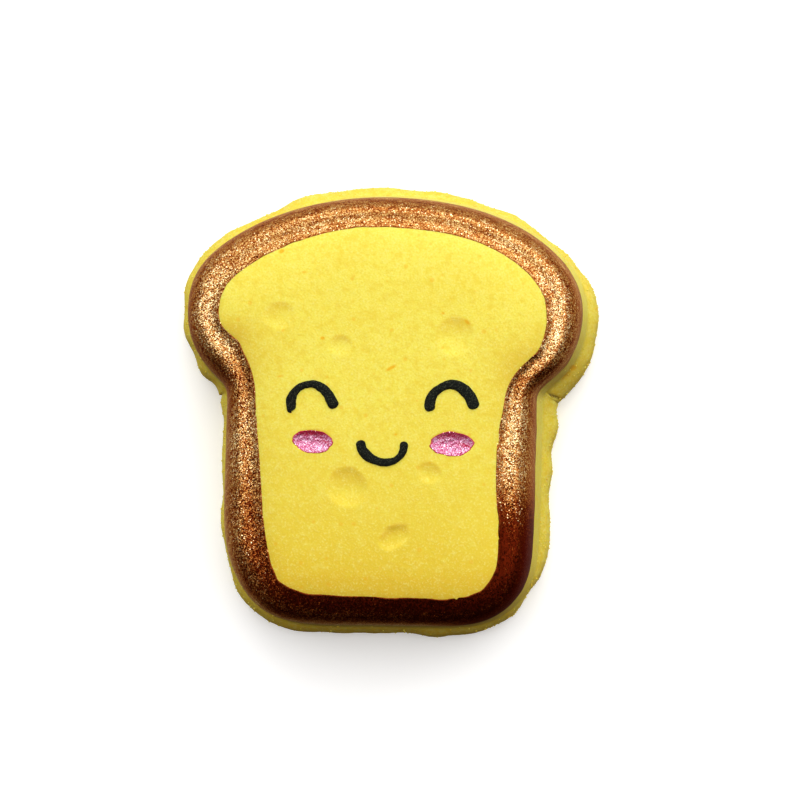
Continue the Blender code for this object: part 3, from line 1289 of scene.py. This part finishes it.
@dataclass
class FaceStrokes:
    """The closed eyes and the smile: raised lines of black paint with soft, uneven edges."""

    form: Form
    strokes: tuple[Stroke, ...] = (
        Stroke(
            "eye_left",
            (
                (-15.15, 0.65, 1.68), (-15.15, 1.9, 1.74), (-14.8, 2.9, 1.5), (-14.0, 3.85, 1.27),
                (-12.9, 4.4, 1.22), (-11.6, 4.6, 1.32), (-10.5, 4.3, 1.55), (-9.55, 3.65, 1.7),
                (-8.9, 2.85, 1.75), (-8.4, 2.0, 1.87), (-8.0, 1.2, 1.92),
            ),
            0.22,
        ),
        Stroke(
            "eye_right",
            (
                (8.3, 0.8, 1.85), (8.35, 1.5, 1.85), (8.6, 2.3, 1.75), (9.1, 3.1, 1.55), (9.8, 3.7, 1.45),
                (10.8, 4.25, 1.45), (11.95, 4.5, 1.6), (13.1, 4.25, 1.8), (14.0, 3.65, 1.95),
                (14.75, 2.9, 2.0), (15.25, 2.1, 2.0), (15.65, 1.15, 2.0),
            ),
            0.05,
        ),
        Stroke(
            "smile",
            (
                (-3.3, -5.6, 1.65), (-3.1, -6.4, 1.72), (-2.6, -7.1, 1.75), (-1.95, -7.7, 1.7),
                (-1.2, -8.15, 1.5), (-0.4, -8.42, 1.4), (0.4, -8.6, 1.37), (1.25, -8.6, 1.35),
                (2.1, -8.38, 1.2), (2.9, -7.95, 1.1), (3.5, -7.3, 1.22),
                (3.85, -6.5, 1.35), (3.95, -5.8, 1.4),
            ),
            0.0,
        ),
    )
    height: float = 0.42
    under: float = 0.2
    along: int = 110
    across: int = 14
    wobble: float = 0.075

    def build(self, stroke: Stroke, number: int, material: Material) -> Object:
        """Makes one stroke as a closed bead that follows the face.

        Args:
            stroke: the line.
            number: shifts the pattern of its edges.
            material: the black paint.

        Returns:
            The piece.
        """
        route = curve_through(stroke.points, 400)
        steps = np.linalg.norm(np.diff(route[:, :2], axis=0), axis=1)
        length = np.concatenate([[0.0], np.cumsum(steps)])
        blunt = route[0, 2] * 0.45
        even = np.linspace(0, 1, self.along)
        at = -blunt + (0.5 * (1 - np.cos(even * math.pi)) / 2 + 0.5 * even) * (length[-1] + 2 * blunt)
        places = np.column_stack([np.interp(at, length, route[:, i]) for i in range(3)])
        for past, way in ((at - length[-1], route[-1] - route[-3]), (-at, route[0] - route[2])):
            places[:, :2] += np.clip(past, 0, None)[:, None] * way[:2] / np.linalg.norm(way[:2])
        along = np.gradient(places[:, :2], axis=0)
        along /= np.linalg.norm(along, axis=1)[:, None]
        normal = np.column_stack([-along[:, 1], along[:, 0]])
        from_end = np.minimum(at + blunt, length[-1] + blunt - at)
        end = np.sqrt(np.clip(1 - (1 - np.clip(from_end / (1.1 * blunt), 0, 1)) ** 2.4, 0.0004, 1))
        half = places[:, 2] / 2 * end
        lean = np.clip(1 - (at + blunt) / 1.6, 0, 1)[:, None] * along * stroke.slant
        rings = []
        for side in np.linspace(-1, 1, self.across):
            line = raised(places, side * 3)
            fray = (clouds(line, 0.8, 60 + number) + clouds(line, 0.35, 63 + number) * 0.5) * self.wobble
            edge = places[:, :2] + normal * (side * (half + fray * end))[:, None] - lean * side
            dome = (1 - abs(side) ** 3) ** 0.6 * end**0.8
            top = self.form.face_height(edge) + dome * self.height
            top += clouds(raised(edge, 0.0), 0.4, 70) * 0.06 * dome - 0.03 * (abs(side) == 1)
            rings.append(raised(edge, top))
        for ring in (rings[-1], rings[self.across // 2], rings[0]):
            rings.append(raised(ring, self.form.face_height(ring) - self.under))
        places, faces = loft(list(np.array(rings).transpose(1, 0, 2)))
        count = len(rings)
        last = len(places) - count
        faces += [tuple(range(count - 1, -1, -1)), tuple(range(last, last + count))]
        obj = make_piece(stroke.name, places, faces, material)
        fix_normals(obj)
        return obj


@dataclass
class CheekPaint:
    """The pink coat in the cheeks' bowls, each a thin closed shell."""

    form: Form
    squares: Pair = (2.0, 1.95)
    angles: Pair = (-6.0, 0.0)
    # Painted shade: a dark crescent along each bowl's upper wall, and a dark line along a fold in each.
    painted_shade_crescents: Pair = (0.95, 0.75)
    painted_fold_shades: tuple[Spot, Spot] = (
        Spot(-9.3, -5.15, 2.0, 0.45, -22, 0.8),
        Spot(14.2, -5.75, 2.4, 0.55, -12, 1.0),
    )
    thickness: float = 0.09
    under: float = 0.15
    around: int = 150
    rings: int = 26
    wobble: float = 0.025
    fray: float = 0.008
    creases: float = 0.1

    def build(self, cheek: Hollow, number: int, material: Material) -> Object:
        """Makes one cheek's coat.

        Args:
            cheek: its bowl.
            number: which of the two it is.
            material: the pink paint.

        Returns:
            The piece, with its mark.
        """
        count, angle = self.around, math.radians(self.angles[number])
        stray = 1 + self.wobble * waves(count, 3, 12, 90 + number) + self.fray * waves(count, 20, 60, 92)
        oval = []
        for part, size in ((np.cos(turns(count)), cheek.length), (np.sin(turns(count)), cheek.width)):
            oval.append(np.sign(part) * np.abs(part) ** (2 / self.squares[number]) * size / 2)
        x = oval[0] * math.cos(angle) - oval[1] * math.sin(angle)
        y = oval[0] * math.sin(angle) + oval[1] * math.cos(angle)
        edge = np.column_stack([x, y]) * stray[:, None]

        def ring(share: float, lift: float) -> Array:
            """A ring at a share of the way out, lifted off the bowl."""
            flat = raised(edge * share + (cheek.x, cheek.y), 0.0)
            height = self.form.face_height(flat) + lift
            if lift > 0:
                across = [flat[:, 0] * 0.5 + flat[:, 1] * 0.5, flat[:, 1] * 1.3 - flat[:, 0] * 0.5]
                crease = clouds(raised(np.column_stack(across), 0.0), 0.8, 95 + number)
                crease += clouds(flat, 0.45, 97 + number) * 0.35
                height += np.maximum(crease * self.creases, -0.02) * (1 - share**4)
            return raised(flat, height)

        shares = np.linspace(0.0, 1.0, self.rings)[1:]
        rings = [ring(share, self.thickness) for share in shares] + [ring(1.02, 0.005), ring(1.03, -0.12)]
        rings += [ring(share, -self.under) for share in (0.7, 0.35)]
        places, faces = loft(rings)
        total, last = len(places), len(places) - count
        faces += [((i + 1) % count, i, total) for i in range(count)]
        faces += [(last + i, last + (i + 1) % count, total + 1) for i in range(count)]
        places = np.vstack([places, ring(0.0, self.thickness)[:1], ring(0.0, -self.under)[:1]])
        rim = [*np.repeat([*smooth_step(shares, 0.92, 1.0), 1.0, 1.0, 1.0, 1.0], count), 0.0, 1.0]
        high = (places[:, 1] - cheek.y) / (cheek.width / 2)
        # The rim's mark also carries painted shade: the upper wall's crescent and the fold's line take the
        # edge's dark colour.
        painted_shade_crescent = smooth_step(high, 0.38, 0.72) * self.painted_shade_crescents[number]
        marks = {"rim": np.max([rim, painted_shade_crescent, dyed(places, [self.painted_fold_shades[number]])], axis=0)}
        obj = make_piece(f"cheek_{'left' if cheek.x < 0 else 'right'}", places, faces, material, marks)
        fix_normals(obj)
        return obj


class Grain(Enum):
    """What a scatter is made of."""

    FLAKE = "flake"
    CRUMB = "crumb"


@dataclass
class Scatter:
    """Small things strewn over a surface by a node tree: flakes of mica, or crumbs of powder."""

    name: str
    grain: Grain
    density: float
    smallest: float
    largest: float
    tilt: float
    sink: float
    seed: int
    tone_seed: int = 7

    def tree(self, material: Material) -> GeometryNodeTree:
        """Builds the node tree, with named inputs for its sizes.

        Args:
            material: the finish of what it strews.

        Returns:
            The tree.
        """
        tree = bpy.data.node_groups.new(self.name, "GeometryNodeTree")
        sizes = dict.fromkeys(("Density", "Smallest", "Largest", "Tilt", "Sink"), "Float")
        for label, kind in {"Geometry": "Geometry", **sizes, "Seed": "Int"}.items():
            tree.interface.new_socket(label, in_out="INPUT", socket_type=f"NodeSocket{kind}")
        tree.interface.new_socket("Geometry", in_out="OUTPUT", socket_type="NodeSocketGeometry")
        net = Net(tree)
        group = net.node("NodeGroupInput")
        seed, tilt = net.out(group, "Seed"), net.out(group, "Tilt")

        def drawn(kind: str, low: Value, high: Value, seed: Wire | int) -> Wire:
            """A random number or vector for each thing."""
            first, output = (2, 1) if kind == "FLOAT" else (0, 0)
            inputs = {first: low, first + 1: high, "Seed": seed}
            return net.wire("FunctionNodeRandomValue", output, {"data_type": kind}, inputs)

        def joined(x: Value, y: Value, z: Value) -> Wire:
            """A vector of three values."""
            return net.wire("ShaderNodeCombineXYZ", 0, {}, {0: x, 1: y, 2: z})

        chance = net.wire("GeometryNodeInputNamedAttribute", 0, {"data_type": "FLOAT"}, {"Name": "strew"})
        spread = net.node(
            "GeometryNodeDistributePointsOnFaces",
            {"distribute_method": "RANDOM"},
            {"Mesh": net.out(group, "Geometry"), "Density": net.out(group, "Density") * chance, "Seed": seed},
        )
        if self.grain is Grain.FLAKE:
            plate = {"Vertices": 6, "Radius": 0.5, "Depth": 0.12}
            shape = net.wire("GeometryNodeMeshCylinder", "Mesh", {}, plate)
        else:
            shape = net.wire("GeometryNodeMeshIcoSphere", "Mesh", {}, {"Radius": 0.5, "Subdivisions": 1})
        wide = drawn("FLOAT", net.out(group, "Smallest"), net.out(group, "Largest"), seed)
        lean = tilt * -1.0
        turn = drawn("FLOAT_VECTOR", joined(lean, lean, 0.0), joined(tilt, tilt, 2 * math.pi), seed)
        stretch = drawn("FLOAT_VECTOR", (0.7, 0.7, 0.6), (1.25, 1.25, 1.1), seed)
        size = net.wire("ShaderNodeVectorMath", 0, {"operation": "SCALE"}, {0: stretch, "Scale": wide})
        laid = {"Points": net.out(spread, "Points"), "Rotation": net.out(spread, "Rotation")}
        strewn = net.wire("GeometryNodeInstanceOnPoints", 0, {}, {**laid, "Instance": shape, "Scale": size})
        turned = net.wire("GeometryNodeRotateInstances", 0, {}, {"Instances": strewn, "Rotation": turn})
        down = joined(0.0, 0.0, wide * net.out(group, "Sink"))
        sunk = net.wire("GeometryNodeTranslateInstances", 0, {}, {"Instances": turned, "Translation": down})
        toned = net.wire(
            "GeometryNodeStoreNamedAttribute",
            0,
            {"data_type": "FLOAT", "domain": "INSTANCE"},
            {"Geometry": sunk, "Name": "tone", "Value": drawn("FLOAT", 0.0, 1.0, self.tone_seed)},
        )
        whole = net.wire("GeometryNodeRealizeInstances", 0, {}, {"Geometry": toned})
        dressed = net.wire("GeometryNodeSetMaterial", 0, {}, {"Geometry": whole, "Material": material})
        net.node("NodeGroupOutput", {}, {0: dressed})
        return tree

    def build(self, ground: Object, chance: Array, material: Material) -> Object:
        """Strews the things over a surface.

        Args:
            ground: the piece that they lie on.
            chance: for each of its vertices, the share of the density there.
            material: their finish.

        Returns:
            One plain mesh of them all.
        """
        carrier = add_object(self.name + "_carrier", ground.data.copy())
        set_mark(carrier.data, "strew", chance)
        modifier = carrier.modifiers.new("scatter", "NODES")
        modifier.node_group = self.tree(material)
        values = {
            "Density": self.density / MM**2,
            "Smallest": self.smallest * MM,
            "Largest": self.largest * MM,
            "Tilt": math.radians(self.tilt),
            "Sink": -self.sink,
            "Seed": self.seed,
        }
        for item in modifier.node_group.interface.items_tree:
            if item.name in values:
                modifier[item.identifier] = values[item.name]
        graph = bpy.context.evaluated_depsgraph_get()
        mesh = bpy.data.meshes.new_from_object(carrier.evaluated_get(graph))
        bpy.data.objects.remove(carrier, do_unlink=True)
        return add_object(self.name, mesh)


# The stage


@dataclass(frozen=True)
class Softbox:
    """A plain soft light."""

    name: str
    place: Triple
    size: Pair
    power: float

    def build(self) -> None:
        """Hangs the light, aimed at the object."""
        data = bpy.data.lights.new(self.name, "AREA")
        data.shape = "RECTANGLE"
        data.size, data.size_y = self.size
        data.energy = self.power
        lamp = add_object(self.name, data)
        lamp.location = self.place
        lamp.rotation_euler = (-Vector(self.place)).to_track_quat("-Z", "Y").to_euler()


@dataclass(frozen=True)
class Studio:
    """A pale floor, soft light from the crown's side, and a camera almost straight above."""

    look: Triple = (2.72, 1.95, 17.0)
    distance: float = 475.0
    tilt_right: float = 4.4
    tilt_down: float = 0.4
    lens: float = 125.0
    sensor: float = 36.0
    floor: float = 1.6
    floor_colour: Triple = (0.93, 0.93, 0.93)
    surround: float = 0.78
    surround_low: float = 0.045
    surround_warm: Triple = (1.0, 0.6, 0.33)
    glow: float = 0.15
    surround_from: float = -0.5
    surround_to: float = 0.8
    surround_sides: float = 0.6
    surround_right: float = 0.08
    lights: tuple[Softbox, ...] = (
        Softbox("overhead_light", (0.12, 0.30, 1.2), (1.5, 1.22), 8.6),
        Softbox("front_light", (0.12, -0.53, 1.2), (1.5, 0.42), 1.1),
        Softbox("crown_light", (0.08, 0.31, 0.27), (0.75, 0.2), 0.9),
    )
    look_name: str = "Medium High Contrast"

    def build(self) -> None:
        """Sets the stage."""
        bpy.ops.mesh.primitive_plane_add(size=self.floor)
        plane = bpy.context.object
        plane.name = "floor"
        looks = {"Base Color": self.floor_colour, "Roughness": 0.9}
        glow = {"Emission Color": (1.0, 1.0, 1.0), "Emission Strength": self.glow}
        plane.data.materials.append(Graph("floor").finish({**looks, **glow}))
        plane.visible_diffuse = False
        plane.visible_glossy = False
        bpy.context.scene.world = self.surroundings()
        for light in self.lights:
            light.build()
        view = bpy.context.scene.view_settings
        view.view_transform = "Standard"
        view.look = self.look_name

    def surroundings(self) -> World:
        """A graded surround: bright behind the crown, half bright at the sides and dark at the foot."""
        world = bpy.data.worlds.new("studio")
        world.use_nodes = True
        net = Net(world.node_tree)
        parts = net.node("ShaderNodeSeparateXYZ", {}, {0: net.wire("ShaderNodeTexCoord", "Generated")})
        x, y = net.out(parts, "X"), net.out(parts, "Y")
        side = net.wire("ShaderNodeMath", 0, {"operation": "ABSOLUTE"}, {0: x})
        share = side * self.surround_sides + (x * self.surround_right + y)
        low = tuple(self.surround_low * part for part in self.surround_warm)
        colour = net.mix(share.between(self.surround_from, self.surround_to), low, (self.surround,) * 3)
        net.feed(net.tree.nodes["Background"].inputs["Color"], colour)
        return world

    def aim(self) -> None:
        """Makes the camera and makes it the scene's."""
        back = Vector((math.tan(math.radians(self.tilt_right)), -math.tan(math.radians(self.tilt_down)), 1))
        back.normalize()
        right = Vector((1, 0, 0))
        right = (right - back * right.dot(back)).normalized()
        turn = Matrix((right, back.cross(right), back)).transposed().to_4x4()
        data = bpy.data.cameras.new("camera")
        data.lens, data.sensor_width = self.lens, self.sensor
        camera = add_object("camera", data)
        camera.matrix_world = Matrix.Translation((Vector(self.look) + back * self.distance) * MM) @ turn
        bpy.context.scene.camera = camera


@dataclass
class BathBomb:
    """The whole object: it builds its sub-assemblies in order and dresses them."""

    form: Form = Form()
    powder: PowderFinish = PowderFinish()
    copper: MicaFinish = MicaFinish(
        "copper",
        (
            (0.0, (0.088, 0.011, 0.0025)),
            (0.3, (0.29, 0.084, 0.017)),
            (0.6, (0.42, 0.197, 0.058)),
            (0.82, (0.65, 0.435, 0.168)),
            (1.0, (0.95, 0.84, 0.52)),
        ),
        (0.2, 0.05, 0.012),
        ground=0.165,
        glow=0.24,
        tilt=0.44,
        streaks=0.75,
        specular=0.15,
    )
    pink: MicaFinish = MicaFinish(
        "pink",
        (
            (0.0, (0.36, 0.03, 0.078)),
            (0.3, (0.48, 0.115, 0.228)),
            (0.65, (0.585, 0.25, 0.39)),
            (1.0, (0.83, 0.655, 0.77)),
        ),
        # The edge's colour, which also paints the shaded crescent and folds in the cheeks.
        (0.42, 0.015, 0.055),
        metallic=0.3,
        tilt=0.45,
        roughness=0.36,
        sheen=(0.8, 0.5, 0.6),
    )
    copper_flakes: FlakeFinish = FlakeFinish("copper_flakes", (0.42, 0.15, 0.03), (1.0, 0.80, 0.48))
    pink_flakes: FlakeFinish = FlakeFinish("pink_flakes", (0.8, 0.25, 0.5), (1.0, 0.85, 0.95))
    black: BlackFinish = BlackFinish()
    crumb: CrumbFinish = CrumbFinish()

    def build(self) -> None:
        """Builds, dresses and hands over every piece."""
        body = PressedBody(self.form).build(self.powder.material())
        coat = CrustPaint(self.form).build(self.copper.material())
        black, pink = self.black.material(), self.pink.material()
        maker = FaceStrokes(self.form)
        strokes = [maker.build(stroke, i, black) for i, stroke in enumerate(maker.strokes)]
        cheeks = [CheekPaint(self.form).build(cheek, i, pink) for i, cheek in enumerate(self.form.cheeks)]
        glints, blushes, crumbs = [self.glints(coat)], self.blushes(cheeks), [self.crumbs(body)]
        hand_over(body, Slot.POWDER, NODE)
        hand_over(coat, Slot.COPPER)
        dressed = (Slot.BLACK, strokes), (Slot.PINK, cheeks), (Slot.COPPER, glints)
        for slot, pieces in (*dressed, (Slot.PINK, blushes), (Slot.POWDER, crumbs)):
            for piece in pieces:
                hand_over(piece, slot)

    def glints(self, coat: Object) -> Object:
        """Strews bright flakes over the crust's coat."""
        chance = smooth_step(normals_of(coat)[:, 2], 0.4, 0.9) * (places_of(coat)[:, 2] > self.form.rim_edge)
        # The flakes lie thicker where the crest has its painted highlight and thinner where the foot has its
        # painted shade.
        thick = 0.35 + np.clip(mark_of(coat, "shine"), 0, 1) - 0.25 * mark_of(coat, "matte")
        chance *= thick * (1 - np.clip(mark_of(coat, "foot"), 0, 1))
        sizes = {"density": 8.0, "smallest": 0.13, "largest": 0.24, "tilt": 10.0, "sink": 0.0, "seed": 3}
        scatter = Scatter("copper_glints", Grain.FLAKE, **sizes)
        return scatter.build(coat, chance, self.copper_flakes.material())

    def blushes(self, cheeks: list[Object]) -> list[Object]:
        """Strews pale flakes over the cheeks."""
        material = self.pink_flakes.material()
        sizes = {"density": 6.0, "smallest": 0.10, "largest": 0.20, "tilt": 20.0, "sink": 0.0, "seed": 4}
        made = []
        for cheek in cheeks:
            chance = smooth_step(normals_of(cheek)[:, 2], 0.3, 0.8)
            made.append(Scatter(cheek.name + "_glints", Grain.FLAKE, **sizes).build(cheek, chance, material))
        return made

    def crumbs(self, body: Object) -> Object:
        """Strews crumbs over the rough flange, and a few on the wall."""
        height = places_of(body)[:, 2]
        foot = self.form.wall_foot
        chance = 1.02 - smooth_step(height, foot - 0.4, foot + 0.4)
        chance *= smooth_step(height, 0.4, 1.2) * (height < self.form.rim_edge - 1)
        chance *= 1 - 0.75 * mark_of(body, "shade")
        sizes = {"density": 0.6, "smallest": 0.18, "largest": 0.42, "tilt": 90.0, "sink": 0.2, "seed": 5}
        scatter = Scatter("flange_crumbs", Grain.CRUMB, **sizes)
        return scatter.build(body, chance, self.crumb.material())


def main() -> None:
    """Builds the object and its stage around the fixed frame."""
    logging.basicConfig(level=logging.INFO, format="%(name)s %(message)s")
    studio = Studio()
    studio.build()
    studio.aim()
    BathBomb().build()


if __name__ == "__main__":
    main()
